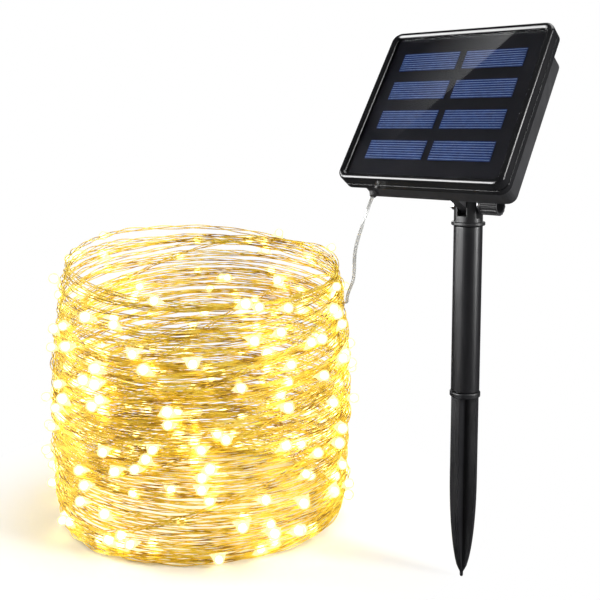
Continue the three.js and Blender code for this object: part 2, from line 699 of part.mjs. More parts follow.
function splice() {
  const [from, to] = LEAD_LOWER.slice(-2).map((p) => new THREE.Vector3(...p));
  const along = to.clone().sub(from).normalize();
  const middle = to.clone().addScaledVector(along, GAP + SPLICE_LENGTH / 2);
  const turn = new THREE.Quaternion().setFromUnitVectors(new THREE.Vector3(0, 1, 0), along);
  const sleeve = new THREE.CylinderGeometry(SPLICE_R, SPLICE_R, SPLICE_LENGTH, 14);
  return sleeve.applyQuaternion(turn).translate(middle.x, middle.y, middle.z);
}

function lightCoil() {
  const outside = COIL_OUTLINE;
  const inside = COIL_OUTLINE.map(([r, z]) => [r - COIL_WALL, z]).reverse();
  return turned([...outside, ...inside, outside[0]], 56).translate(COIL_X, COIL_Y, 0);
}

place(model, "lead_upper", leadTube(LEAD_UPPER, 8), CLEAR_PVC);
place(model, "lead_lower", leadTube(LEAD_LOWER, 20), CLEAR_PVC);
place(model, "lead_splice", splice(), CLEAR_PVC);
place(model, "led_coil", lightCoil(), STRING_WIRE);

export default model;
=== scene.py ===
import json
import math
import random

import bpy
import numpy as np
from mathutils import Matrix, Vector


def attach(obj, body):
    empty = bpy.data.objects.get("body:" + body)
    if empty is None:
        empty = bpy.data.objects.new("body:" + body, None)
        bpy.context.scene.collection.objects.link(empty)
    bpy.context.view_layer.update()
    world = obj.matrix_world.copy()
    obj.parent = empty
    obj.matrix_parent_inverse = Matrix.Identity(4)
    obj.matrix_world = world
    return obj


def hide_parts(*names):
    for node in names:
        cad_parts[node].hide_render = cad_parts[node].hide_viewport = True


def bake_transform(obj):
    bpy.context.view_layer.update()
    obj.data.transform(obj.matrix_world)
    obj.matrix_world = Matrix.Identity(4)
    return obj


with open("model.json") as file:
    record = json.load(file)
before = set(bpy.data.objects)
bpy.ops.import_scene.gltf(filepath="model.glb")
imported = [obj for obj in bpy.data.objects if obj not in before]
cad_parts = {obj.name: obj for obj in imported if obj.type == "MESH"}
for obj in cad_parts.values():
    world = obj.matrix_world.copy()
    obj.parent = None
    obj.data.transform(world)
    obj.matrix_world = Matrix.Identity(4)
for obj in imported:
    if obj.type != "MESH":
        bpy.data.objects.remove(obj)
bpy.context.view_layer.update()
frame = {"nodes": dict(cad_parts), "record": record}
NODES = frame["nodes"]
SCENE = bpy.context.scene

# ------------------------------------------------------------------ camera
CAMERA_PLACE = (0.2528, -0.4566, 0.2682)
CAMERA_DOWN = math.radians(6.0)
CAMERA_TURN = math.radians(39.62)
CAMERA_LENS = 54.0
CAMERA_SENSOR = 36.0
CAMERA_SHIFT = -0.134

camera_data = bpy.data.cameras.new("camera")
camera_data.sensor_width = CAMERA_SENSOR
camera_data.lens = CAMERA_LENS
camera_data.shift_y = CAMERA_SHIFT
camera_data.clip_start = 0.01
camera_data.clip_end = 60.0
camera = bpy.data.objects.new("camera", camera_data)
camera.location = CAMERA_PLACE
camera.rotation_euler = (math.pi / 2 - CAMERA_DOWN, 0.0, CAMERA_TURN)
SCENE.collection.objects.link(camera)
SCENE.camera = camera

# ------------------------------------------------------------------ cord routes, metres
LEAD_HALF_GAP = 0.00056
LEAD_JACKET_R = 0.00064
LEAD_CORE_R = 0.00034
LEAD_UPPER = [
    (-0.0450, -0.0315, 0.2269),
    (-0.0450, -0.0346, 0.2224),
    (-0.0453, -0.0370, 0.2174),
    (-0.0466, -0.0380, 0.2124),
    (-0.0492, -0.0370, 0.2074),
    (-0.0528, -0.0341, 0.2028),
    (-0.0569, -0.0300, 0.1986),
]
LEAD_LOWER = [
    (-0.0571, -0.0298, 0.1984),
    (-0.0617, -0.0247, 0.1940),
    (-0.0667, -0.0186, 0.1892),
    (-0.0717, -0.0120, 0.1843),
    (-0.0767, -0.0052, 0.1792),
    (-0.0817, 0.0014, 0.1742),
    (-0.0867, 0.0077, 0.1693),
    (-0.0921, 0.0134, 0.1646),
    (-0.0976, 0.0188, 0.1602),
    (-0.1028, 0.0239, 0.1558),
    (-0.1082, 0.0302, 0.1518),
    (-0.1136, 0.0372, 0.1481),
    (-0.1189, 0.0443, 0.1449),
    (-0.1254, 0.0516, 0.1421),
    (-0.1325, 0.0584, 0.1398),
    (-0.1403, 0.0644, 0.1380),
]

COIL_CENTRE = (-0.1955, -0.0223)
COIL_BACK = (-0.637, 0.770)
COIL_RISE = 0.136
COIL_RIM = 0.178
COIL_OUTLINE_H = [0.0, 0.022, 0.070, 0.115, 0.155, 0.178]
COIL_OUTLINE_R = [0.098, 0.102, 0.104, 0.103, 0.0985, 0.0945]
START_ANGLE = math.radians(65.2)
START_RADIUS = 0.1050
START_HEIGHT = 0.1309
INNER_TURNS = 34
OUTER_TURNS = 44
LAST_TURNS = 4
STEPS_PER_TURN = 134
COIL_SEED = 163
SWAY_KNOTS = 7
SWAY = 0.0045
TURN_TILT = 0.0052
WAVES = [(5, 0.0021), (15, 0.0009)]
INSET_WAVES = [(3, 0.0017), (26, 0.00045)]
SLACK_TILT = 0.041
LEAST_INSET = -0.0078
STRING_WIRES = 3
WIRE_SEED = 23
WIRE_R = 0.00038
WIRE_SIDES = 3
WIRE_OUT = 0.00115
WIRE_OUT_VARIES = 0.00055
TWIST_PITCH = 0.075
LAMP_SEED = 37
LAMP_GAP = 0.180
LAMP_END_GAP = 0.004
LOW_LAMP = 0.009
LOW_SWING = 1.3
MOST_SWING = 1.25
INWARD_SHARE = 0.45


def smooth(t):
    return t * t * (3.0 - 2.0 * t)


def wander(rng, count, size):
    """A smooth random line through count knots, each from -size to size."""
    knots = np.array([rng.uniform(-size, size) for _ in range(count + 2)])

    def at(x):
        x = np.clip(np.asarray(x, float), 0.0, count)
        i = np.minimum(x.astype(int), count)
        f = smooth(x - i)
        return knots[i] * (1.0 - f) + knots[i + 1] * f

    return at


def coil_route():
    """The string's centreline: down the inside, up the outside, then slack loops across the outside."""
    rng = random.Random(COIL_SEED)
    turns = INNER_TURNS + OUTER_TURNS + LAST_TURNS
    k = np.linspace(0.0, turns, turns * STEPS_PER_TURN + 1)
    angle = START_ANGLE + 2.0 * math.pi * k
    top = INNER_TURNS + OUTER_TURNS
    heights = [
        (0.0, START_HEIGHT),
        (1.0, 0.141),
        (INNER_TURNS - 1.0, 0.0030),
        (INNER_TURNS + 1.0, 0.0014),
        (top - 9.0, 0.146),
        (top, 0.1765),
        (top + 0.45, 0.128),
        (top + 0.95, 0.116),
        (top + 1.45, 0.080),
        (top + 1.95, 0.070),
        (top + 2.45, 0.037),
        (top + 2.95, 0.029),
        (top + 3.4, 0.012),
        (turns, 0.006),
    ]
    insets = [
        (0.0, -0.0075),
        (0.25, 0.001),
        (1.0, 0.0066),
        (INNER_TURNS - 2.0, 0.0058),
        (INNER_TURNS - 1.0, 0.0040),
        (INNER_TURNS + 2.0, 0.0014),
        (top - 8.0, 0.0024),
        (top, 0.0030),
        (top + 0.4, 0.0006),
        (turns, 0.0006),
    ]
    h = np.interp(k, *zip(*heights))
    inset = np.interp(k, *zip(*insets))
    settle = np.clip(k / 1.5, 0.0, 1.0)
    free = settle * smooth(np.clip(h / 0.03, 0.0, 1.0))
    level = np.clip(h / COIL_RIM, 0.0, 1.0)
    sway_x = wander(rng, SWAY_KNOTS, SWAY)(level * SWAY_KNOTS)
    sway_y = wander(rng, SWAY_KNOTS, SWAY)(level * SWAY_KNOTS)
    h = h + free * (sway_x * np.cos(angle) + sway_y * np.sin(angle))
    own = np.clip(level * 2.4 - 1.4, 0.25, 1.0)
    tilt_x = wander(rng, turns, TURN_TILT)(k)
    tilt_y = wander(rng, turns, TURN_TILT)(k)
    h = h + free * own * (tilt_x * np.cos(angle) + tilt_y * np.sin(angle))
    for per_turn, size in WAVES:
        h = h + free * wander(rng, turns * per_turn, size)(k * per_turn)
    for per_turn, size in INSET_WAVES:
        inset = inset + settle * wander(rng, turns * per_turn, size)(k * per_turn)
    slack = smooth(np.clip(k - top, 0.0, 1.0)) * (1.0 - smooth(np.clip(k - top - 3.0, 0.0, 1.0)))
    right = math.atan2(COIL_BACK[1], COIL_BACK[0]) - math.pi / 2
    h = h + slack * SLACK_TILT * np.cos(angle - right)
    low = 0.0016 + 0.0008 * (1.0 + np.sin(angle * 2.3 + 0.7 * k)) / 2.0
    h = np.where(h < low, low + (low - h) * 0.12, h)
    high = COIL_RIM + 0.0015
    h = np.where(h > high, high - (h - high) * 0.25, h)
    r = np.interp(h, COIL_OUTLINE_H, COIL_OUTLINE_R) - np.maximum(inset, LEAST_INSET)
    start = smooth(np.clip(k / 0.22, 0.0, 1.0))
    r = START_RADIUS * (1.0 - start) + r * start
    c, s = np.cos(angle), np.sin(angle)
    lean = COIL_RISE * (h / COIL_RIM) * r * (c * COIL_BACK[0] + s * COIL_BACK[1])
    return np.stack([COIL_CENTRE[0] + r * c, COIL_CENTRE[1] + r * s, h + lean], axis=1), k


def tangents(points):
    d = np.gradient(points, axis=0)
    return d / np.linalg.norm(d, axis=1, keepdims=True)


def side_frames(points):
    """Two unit vectors across the line at each point, one of them as near upright as it goes."""
    t = tangents(points)
    up = np.array([0.0, 0.0, 1.0])
    a = np.cross(t, up)
    a /= np.linalg.norm(a, axis=1, keepdims=True)
    b = np.cross(a, t)
    return t, a, b


def tube_arrays(points, radius, sides, base=0):
    """Vertices and faces of a closed tube along points."""
    t, a, b = side_frames(points)
    turn = np.linspace(0.0, 2.0 * math.pi, sides, endpoint=False)
    r = np.broadcast_to(np.asarray(radius, float), (len(points),))[:, None, None]
    ring = a[:, None, :] * np.cos(turn)[None, :, None] + b[:, None, :] * np.sin(turn)[None, :, None]
    verts = (points[:, None, :] + r * ring).reshape(-1, 3)
    n = len(points)
    i = np.arange(n - 1)[:, None] * sides
    j = np.arange(sides)[None, :]
    j2 = (j + 1) % sides
    quads = np.stack([i + j, i + j2, i + sides + j2, i + sides + j], axis=2).reshape(-1, 4) + base
    ends = [[base + x for x in range(sides)][::-1], [base + (n - 1) * sides + x for x in range(sides)]]
    return verts, quads.tolist() + ends


def mesh_piece(name, verts, faces, material, soft=True):
    mesh = bpy.data.meshes.new(name)
    mesh.from_pydata([tuple(v) for v in verts], [], faces)
    mesh.update()
    if soft:
        mesh.polygons.foreach_set("use_smooth", [True] * len(mesh.polygons))
    mesh.materials.append(material)
    obj = bpy.data.objects.new(name, mesh)
    SCENE.collection.objects.link(obj)
    return obj


# ------------------------------------------------------------------ materials
def new_material(name):
    mat = bpy.data.materials.new(name)
    mat.use_nodes = True
    nt = mat.node_tree
    nt.nodes.clear()
    out = nt.nodes.new("ShaderNodeOutputMaterial")
    return mat, nt, out


def add(nt, kind, **sockets):
    node = nt.nodes.new(kind)
    for key, value in sockets.items():
        node.inputs[key.replace("_", " ")].default_value = value
    return node


def noise(nt, coord, scale, detail=4.0, rough=0.55):
    node = add(nt, "ShaderNodeTexNoise", Scale=scale, Detail=detail, Roughness=rough)
    nt.links.new(coord, node.inputs["Vector"])
    return node.outputs["Fac"]


def ramp(nt, fac, stops):
    node = nt.nodes.new("ShaderNodeValToRGB")
    elements = node.color_ramp.elements
    while len(elements) < len(stops):
        elements.new(0.5)
    for element, (place, colour) in zip(elements, stops):
        element.position = place
        element.color = (*colour, 1.0)
    nt.links.new(fac, node.inputs["Fac"])
    return node.outputs["Color"]


def spread(nt, fac, low, high, start=0.3, end=0.7):
    node = nt.nodes.new("ShaderNodeMapRange")
    node.inputs["From Min"].default_value = start
    node.inputs["From Max"].default_value = end
    node.inputs["To Min"].default_value = low
    node.inputs["To Max"].default_value = high
    nt.links.new(fac, node.inputs["Value"])
    return node.outputs["Result"]


def bump(nt, height, strength, distance, normal=None):
    node = add(nt, "ShaderNodeBump", Strength=strength, Distance=distance)
    nt.links.new(height, node.inputs["Height"])
    if normal is not None:
        nt.links.new(normal, node.inputs["Normal"])
    return node.outputs["Normal"]


def gloss_share(nt, facing_on, edge_on=1.0):
    """The gloss share of a clear surface: little face on, more at low angles, alike on both faces."""
    weight = add(nt, "ShaderNodeLayerWeight", Blend=0.5)
    power = nt.nodes.new("ShaderNodeMath")
    power.operation = "POWER"
    power.inputs[1].default_value = 5.0
    nt.links.new(weight.outputs["Facing"], power.inputs[0])
    return spread(nt, power.outputs[0], facing_on, edge_on, 0.0, 1.0)


def soft_edge(nt, radius):
    node = nt.nodes.new("ShaderNodeBevel")
    node.samples = 12
    node.inputs["Radius"].default_value = radius
    return node.outputs["Normal"]


def moulded(
    name, dark, light, rough, grain=1800.0, grain_height=0.00004, edge=0.0, patch=40.0, metal=0.0, level=0.5
):
    """A moulded or machined surface: patchy tone and sheen, fine grain, long handling streaks."""
    mat, nt, out = new_material(name)
    coord = nt.nodes.new("ShaderNodeTexCoord").outputs["Object"]
    bsdf = nt.nodes.new("ShaderNodeBsdfPrincipled")
    tone = noise(nt, coord, patch, 5.0, 0.6)
    nt.links.new(ramp(nt, tone, [(0.32, dark), (0.68, light)]), bsdf.inputs["Base Color"])
    streak_map = nt.nodes.new("ShaderNodeMapping")
    streak_map.inputs["Scale"].default_value = (1.0, 1.0, 0.16)
    nt.links.new(coord, streak_map.inputs["Vector"])
    sheen = noise(nt, streak_map.outputs["Vector"], patch * 5.0, 5.0, 0.65)
    nt.links.new(spread(nt, sheen, rough[0], rough[1]), bsdf.inputs["Roughness"])
    start = soft_edge(nt, edge) if edge else None
    fine = noise(nt, coord, grain, 2.0, 0.5)
    wide = noise(nt, coord, patch * 1.5, 3.0, 0.5)
    first = bump(nt, wide, 0.12, grain_height * 5.0, start)
    nt.links.new(bump(nt, fine, 0.35, grain_height, first), bsdf.inputs["Normal"])
    bsdf.inputs["Metallic"].default_value = metal
    bsdf.inputs["Specular IOR Level"].default_value = level
    nt.links.new(bsdf.outputs["BSDF"], out.inputs["Surface"])
    return mat


def sheet_material():
    """A clear polished sheet: see-through, with a gloss that grows at low angles."""
    mat, nt, out = new_material("clear_sheet")
    coord = nt.nodes.new("ShaderNodeTexCoord").outputs["Object"]
    clear = nt.nodes.new("ShaderNodeBsdfTransparent")
    haze = noise(nt, coord, 55.0, 4.0)
    tint = ramp(nt, haze, [(0.3, (0.95, 0.96, 0.97)), (0.7, (1.0, 1.0, 1.0))])
    nt.links.new(tint, clear.inputs["Color"])
    gloss = nt.nodes.new("ShaderNodeBsdfGlossy")
    nt.links.new(spread(nt, noise(nt, coord, 35.0, 3.0), 0.008, 0.014), gloss.inputs["Roughness"])
    mix = nt.nodes.new("ShaderNodeMixShader")
    nt.links.new(gloss_share(nt, 0.050, 0.8), mix.inputs[0])
    nt.links.new(clear.outputs["BSDF"], mix.inputs[1])
    nt.links.new(gloss.outputs["BSDF"], mix.inputs[2])
    nt.links.new(mix.outputs["Shader"], out.inputs["Surface"])
    return mat


def cell_material():
    """Blue silicon: crystal patches with their own blues, under a thin clear film."""
    mat, nt, out = new_material("solar_cell")
    coord = nt.nodes.new("ShaderNodeTexCoord").outputs["Object"]
    bsdf = nt.nodes.new("ShaderNodeBsdfPrincipled")
    crystal = add(nt, "ShaderNodeTexVoronoi", Scale=420.0)
    nt.links.new(coord, crystal.inputs["Vector"])
    split = nt.nodes.new("ShaderNodeSeparateColor")
    nt.links.new(crystal.outputs["Color"], split.inputs["Color"])
    blue = ramp(
        nt,
        split.outputs["Red"],
        [(0.0, (0.004, 0.019, 0.098)), (0.5, (0.007, 0.029, 0.130)), (1.0, (0.014, 0.045, 0.172))],
    )
    nt.links.new(blue, bsdf.inputs["Base Color"])
    nt.links.new(spread(nt, noise(nt, coord, 300.0, 3.0), 0.30, 0.46), bsdf.inputs["Roughness"])
    nt.links.new(bump(nt, split.outputs["Green"], 0.10, 0.00003), bsdf.inputs["Normal"])
    bsdf.inputs["Specular IOR Level"].default_value = 0.4
    nt.links.new(bsdf.outputs["BSDF"], out.inputs["Surface"])
    return mat


def board_material():
    """Green solder mask with faint copper runs under it."""
    mat, nt, out = new_material("circuit_board")
    coord = nt.nodes.new("ShaderNodeTexCoord").outputs["Object"]
    bsdf = nt.nodes.new("ShaderNodeBsdfPrincipled")
    runs = add(nt, "ShaderNodeTexBrick", Scale=90.0)
    runs.inputs["Color1"].default_value = (0.012, 0.115, 0.045, 1.0)
    runs.inputs["Color2"].default_value = (0.020, 0.150, 0.060, 1.0)
    runs.inputs["Mortar"].default_value = (0.045, 0.210, 0.085, 1.0)
    nt.links.new(coord, runs.inputs["Vector"])
    nt.links.new(runs.outputs["Color"], bsdf.inputs["Base Color"])
    nt.links.new(spread(nt, noise(nt, coord, 250.0), 0.25, 0.40), bsdf.inputs["Roughness"])
    nt.links.new(bump(nt, runs.outputs["Fac"], 0.3, 0.00005), bsdf.inputs["Normal"])
    nt.links.new(bsdf.outputs["BSDF"], out.inputs["Surface"])
    return mat


def clear_plastic(name, tint, rough, weight):
    """Clear soft plastic: mostly see-through, with a milky body and a gloss on top."""
    mat, nt, out = new_material(name)
    coord = nt.nodes.new("ShaderNodeTexCoord").outputs["Object"]
    bsdf = nt.nodes.new("ShaderNodeBsdfPrincipled")
    low = tuple(0.86 * c for c in tint)
    milky = ramp(nt, noise(nt, coord, 260.0, 4.0), [(0.3, low), (0.7, tint)])
    nt.links.new(milky, bsdf.inputs["Base Color"])
    nt.links.new(spread(nt, noise(nt, coord, 700.0, 3.0), rough[0], rough[1]), bsdf.inputs["Roughness"])
    nt.links.new(bump(nt, noise(nt, coord, 260.0, 2.0), 0.15, 0.00003), bsdf.inputs["Normal"])
    bsdf.inputs["IOR"].default_value = 1.5
    clear = nt.nodes.new("ShaderNodeBsdfTransparent")
    mix = nt.nodes.new("ShaderNodeMixShader")
    mix.inputs[0].default_value = weight
    nt.links.new(clear.outputs["BSDF"], mix.inputs[1])
    nt.links.new(bsdf.outputs["BSDF"], mix.inputs[2])
    nt.links.new(mix.outputs["Shader"], out.inputs["Surface"])
    return mat


def wire_material():
    """Fine enamelled wire: bright champagne metal, duller and browner in places, with a painted glow: a
    faint light in its own colour that lifts its shadows.
    """
    mat, nt, out = new_material("string_wire")
    coord = nt.nodes.new("ShaderNodeTexCoord").outputs["Object"]
    bsdf = nt.nodes.new("ShaderNodeBsdfPrincipled")
    strand = nt.nodes.new("ShaderNodeMapping")
    strand.inputs["Scale"].default_value = (0.11, 0.11, 1.0)
    nt.links.new(coord, strand.inputs["Vector"])
    tone = noise(nt, strand.outputs["Vector"], 430.0, 4.0, 0.62)
    browns = [(0.36, (0.30, 0.15, 0.012)), (0.47, (0.78, 0.51, 0.035))]
    golds = [(0.57, (0.88, 0.67, 0.08)), (0.68, (0.93, 0.80, 0.26))]
    colour = ramp(nt, tone, browns + golds)
    nt.links.new(colour, bsdf.inputs["Base Color"])
    nt.links.new(spread(nt, noise(nt, coord, 900.0, 3.0), 0.36, 0.56), bsdf.inputs["Roughness"])
    nt.links.new(bump(nt, noise(nt, coord, 1500.0, 2.0), 0.3, 0.00005), bsdf.inputs["Normal"])
    bsdf.inputs["Metallic"].default_value = 0.45
    # painted glow: the wire gives off a faint light in its own colour, though it is no lamp, so its shadows
    # read golden brown
    nt.links.new(colour, bsdf.inputs["Emission Color"])
    bsdf.inputs["Emission Strength"].default_value = 0.10
    nt.links.new(bsdf.outputs["BSDF"], out.inputs["Surface"])
    return mat


def lamp_material(name, stops, strength, weight):
    """Glowing resin: warm light that is whiter and stronger in its denser patches."""
    mat, nt, out = new_material(name)
    coord = nt.nodes.new("ShaderNodeTexCoord").outputs["Object"]
    glow = nt.nodes.new("ShaderNodeEmission")
    patch = noise(nt, coord, 420.0, 3.0)
    nt.links.new(ramp(nt, patch, stops), glow.inputs["Color"])
    nt.links.new(spread(nt, patch, strength[0], strength[1]), glow.inputs["Strength"])
    gloss = nt.nodes.new("ShaderNodeBsdfGlossy")
    nt.links.new(spread(nt, noise(nt, coord, 800.0, 2.0), 0.05, 0.14), gloss.inputs["Roughness"])
    nt.links.new(bump(nt, noise(nt, coord, 1100.0, 2.0), 0.3, 0.0001), gloss.inputs["Normal"])
    skin = nt.nodes.new("ShaderNodeMixShader")
    nt.links.new(gloss_share(nt, 0.03, 0.30), skin.inputs[0])
    nt.links.new(glow.outputs["Emission"], skin.inputs[1])
    nt.links.new(gloss.outputs["BSDF"], skin.inputs[2])
    if weight < 1.0:
        clear = nt.nodes.new("ShaderNodeBsdfTransparent")
        mix = nt.nodes.new("ShaderNodeMixShader")
        mix.inputs[0].default_value = weight
        nt.links.new(clear.outputs["BSDF"], mix.inputs[1])
        nt.links.new(skin.outputs["Shader"], mix.inputs[2])
        nt.links.new(mix.outputs["Shader"], out.inputs["Surface"])
    else:
        nt.links.new(skin.outputs["Shader"], out.inputs["Surface"])
    return mat


# name: (dark tone, light tone, roughness, the rest)
MOULDINGS = {
    "black_stake": ((0.005, 0.005, 0.006), (0.011, 0.011, 0.012), (0.30, 0.44), {"edge": 0.0005}),
    "black_tube": ((0.005, 0.005, 0.006), (0.010, 0.010, 0.011), (0.28, 0.38), {"edge": 0.0006}),
    "black_cap": ((0.007, 0.007, 0.008), (0.013, 0.013, 0.014), (0.32, 0.46), {"edge": 0.0005}),
    "bolt_steel": ((0.42, 0.42, 0.43), (0.62, 0.62, 0.63), (0.22, 0.38), {"metal": 1.0, "edge": 0.0003}),
    "black_knob": ((0.010, 0.010, 0.011), (0.022, 0.022, 0.024), (0.36, 0.50), {"edge": 0.0003}),
    "gloss_housing": (
        (0.006, 0.006, 0.007),
        (0.011, 0.011, 0.012),
        (0.10, 0.17),
        {"grain": 900.0, "grain_height": 0.00001, "edge": 0.0004},
    ),
    "panel_board": (
        (0.004, 0.004, 0.006),
        (0.007, 0.007, 0.010),
        (0.30, 0.36),
        {"grain": 300.0, "grain_height": 0.000001, "level": 0.2},
    ),
    "matte_cover": ((0.014, 0.014, 0.015), (0.024, 0.024, 0.026), (0.36, 0.50), {"edge": 0.0006}),
    "screw_steel": ((0.40, 0.40, 0.40), (0.62, 0.62, 0.61), (0.26, 0.42), {"metal": 1.0, "edge": 0.0002}),
    "battery_wrap": ((0.015, 0.14, 0.06), (0.03, 0.22, 0.10), (0.22, 0.34), {"edge": 0.0003}),
    "contact_steel": ((0.46, 0.46, 0.44), (0.68, 0.68, 0.65), (0.18, 0.32), {"metal": 1.0}),
    "soft_button": ((0.020, 0.020, 0.022), (0.036, 0.036, 0.038), (0.55, 0.70), {"edge": 0.0004}),
    "gland_rubber": ((0.014, 0.014, 0.014), (0.026, 0.026, 0.026), (0.60, 0.74), {"edge": 0.0003}),
    "tinned_core": ((0.60, 0.60, 0.60), (0.82, 0.82, 0.81), (0.26, 0.40), {"metal": 0.7, "patch": 300.0}),
    "silver_fingers": ((0.24, 0.35, 0.62), (0.38, 0.50, 0.78), (0.30, 0.42), {"metal": 0.2, "patch": 500.0}),
}
MATERIALS = {name: moulded(name, *tones, **rest) for name, (*tones, rest) in MOULDINGS.items()}
MATERIALS["clear_sheet"] = sheet_material()
MATERIALS["solar_cell"] = cell_material()
MATERIALS["circuit_board"] = board_material()
MATERIALS["clear_pvc"] = clear_plastic("clear_pvc", (0.90, 0.90, 0.87), (0.14, 0.26), 0.40)
MATERIALS["clear_sleeve"] = clear_plastic("clear_sleeve", (0.82, 0.81, 0.76), (0.16, 0.30), 0.62)
MATERIALS["string_wire"] = wire_material()
LAMP_CORE = lamp_material(
    "lamp_core", [(0.3, (1.0, 0.74, 0.17)), (0.7, (1.0, 0.78, 0.23))], (12.5, 17.0), 1.0
)
LAMP_RESIN = lamp_material(
    "lamp_resin", [(0.3, (1.0, 0.80, 0.30)), (0.7, (1.0, 0.90, 0.52))], (1.2, 1.9), 0.66
)

for subpart in frame["record"]["subparts"]:
    node = NODES[subpart["node"]]
    node.data.materials.clear()
    node.data.materials.append(MATERIALS[subpart["material_slot"]])

# ------------------------------------------------------------------ the lamp string
route, route_k = coil_route()


def string_wires():
    """Three loose strands that wind round the route."""
    rng = random.Random(WIRE_SEED)
    _, a, b = side_frames(route)
    verts, faces = [], []
    base = 0
    total = route_k[-1]
    along = np.concatenate([[0.0], np.cumsum(np.linalg.norm(np.diff(route, axis=0), axis=1))])
    turn_per_m = 2.0 * math.pi / TWIST_PITCH
    drift = wander(rng, int(total * 4), 1.6)(route_k * 4)
    for w in range(STRING_WIRES):
        own = wander(rng, int(total * 14), 0.9)(route_k * 14)
        phase = along * turn_per_m + 2.0 * math.pi * w / STRING_WIRES + drift + own * 0.6
        out = WIRE_OUT + wander(rng, int(total * 9), WIRE_OUT_VARIES)(route_k * 9)
        ends = np.minimum(np.minimum(along, along[-1] - along) / 0.004, 1.0)
        out = out * (0.35 + 0.65 * ends)
        line = route + (out * np.cos(phase))[:, None] * a + (out * np.sin(phase))[:, None] * b
        v, f = tube_arrays(line, WIRE_R, WIRE_SIDES, base)
        verts.append(v)
        faces += f
        base += len(v)
    return np.concatenate(verts), faces, along


wire_verts, wire_faces, along = string_wires()
string = mesh_piece("lamp_string", wire_verts, wire_faces, MATERIALS["string_wire"])

# (place along the drop, half width, half depth)
DROP_RINGS = [
    (0.00, 0.0066, 0.0008),
    (0.10, 0.0059, 0.0014),
    (0.30, 0.0048, 0.0028),
    (0.58, 0.0040, 0.0037),
    (0.82, 0.0032, 0.0031),
    (0.95, 0.0018, 0.0018),
]
DROP_LENGTH = 0.0080
CORE_R = 0.0028
CORE_AT = 0.56
CORE_BANDS = 4
ROUND = 8


def lamp_places():
    """Each lamp's place on the string, its drop's direction, the wires' direction and its size."""
    rng = random.Random(LAMP_SEED)
    t, _, _ = side_frames(route)
    places = []
    s = LAMP_GAP * 0.6
    while s < along[-1] - LAMP_END_GAP:
        i = int(np.searchsorted(along, s))
        p = route[i]
        radial = np.array([p[0] - COIL_CENTRE[0], p[1] - COIL_CENTRE[1], 0.0])
        radial /= np.linalg.norm(radial)
        swing = rng.uniform(-MOST_SWING, MOST_SWING)
        inward = route_k[i] < INNER_TURNS and rng.random() < INWARD_SHARE
        if inward:
            swing = math.pi - swing
        if p[2] < LOW_LAMP:
            swing = LOW_SWING
        d = radial * math.cos(swing) + np.array([0.0, 0.0, 1.0]) * math.sin(swing)
        d = d - t[i] * float(d @ t[i])
        d /= np.linalg.norm(d)
        places.append((p + d * 0.0006, d, t[i], rng.uniform(0.88, 1.12)))
        s += LAMP_GAP * rng.uniform(0.8, 1.2)
    return places


def drop_arrays(places):
    """The resin drop of each lamp."""
    verts, faces = [], []
    for p, d, t, size in places:
        base = len(verts)
        n = np.cross(t, d)
        for at, wide, deep in DROP_RINGS:
            for q in range(ROUND):
                turn = 2.0 * math.pi * q / ROUND
                off = d * at * DROP_LENGTH + t * wide * math.cos(turn) + n * deep * math.sin(turn)
                verts.append(p + size * off)
        verts.append(p + size * d * DROP_LENGTH)
        tip = len(verts) - 1
        last = base + ROUND * (len(DROP_RINGS) - 1)
        faces.append([base + q for q in range(ROUND)][::-1])
        for ring in range(len(DROP_RINGS) - 1):
            for q in range(ROUND):
                q2 = (q + 1) % ROUND
                lo = base + ring * ROUND
                faces.append([lo + q, lo + q2, lo + ROUND + q2, lo + ROUND + q])
        for q in range(ROUND):
            faces.append([last + q, last + (q + 1) % ROUND, tip])
    return verts, faces


def core_arrays(places):
    """The glowing core in each drop."""
    verts, faces = [], []
    for p, d, t, size in places:
        base = len(verts)
        n = np.cross(t, d)
        centre = p + size * d * DROP_LENGTH * CORE_AT
        verts.append(centre - size * d * CORE_R)
        for band in range(1, CORE_BANDS):
            lat = math.pi * band / CORE_BANDS
            for q in range(ROUND):
                turn = 2.0 * math.pi * q / ROUND
                verts.append(
                    centre
                    + size * CORE_R
                    * (-d * math.cos(lat) + (t * math.cos(turn) + n * math.sin(turn)) * math.sin(lat))
                )
        verts.append(centre + size * d * CORE_R)
        tip = len(verts) - 1
        for q in range(ROUND):
            q2 = (q + 1) % ROUND
            faces.append([base, base + 1 + q2, base + 1 + q])
            faces.append([tip - ROUND + q, tip - ROUND + q2, tip])
            for band in range(CORE_BANDS - 2):
                lo = base + 1 + band * ROUND
                faces.append([lo + q, lo + q2, lo + ROUND + q2, lo + ROUND + q])
    return verts, faces


places = lamp_places()
drops = mesh_piece("lamp_drops", *drop_arrays(places), LAMP_RESIN)
cores = mesh_piece("lamp_cores", *core_arrays(places), LAMP_CORE)
for piece in (string, drops, cores):
    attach(piece, "stake")
lit = bpy.data.collections.new("lit_by_lamps")
SCENE.collection.children.link(lit)
for piece in (string, drops, cores):
    lit.objects.link(piece)
cores.light_linking.receiver_collection = lit
drops.light_linking.receiver_collection = lit
drops.visible_shadow = False
string.visible_glossy = False
drops.visible_glossy = False
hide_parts("led_coil")


# ------------------------------------------------------------------ the lead
def fine_route(points, steps=6):
    """A smooth line through the given points."""
    pts = [np.array(p) for p in points]
    pts = [2 * pts[0] - pts[1]] + pts + [2 * pts[-1] - pts[-2]]
    line = []
    for i in range(1, len(pts) - 2):
        p0, p1, p2, p3 = pts[i - 1 : i + 3]
        for s in range(steps):
            u = s / steps
            line.append(
                0.5
                * (
                    2 * p1
                    + (p2 - p0) * u
                    + (2 * p0 - 5 * p1 + 4 * p2 - p3) * u * u
                    + (3 * p1 - p0 - 3 * p2 + p3) * u ** 3
                )
            )
    line.append(pts[-2])
    return np.array(line)


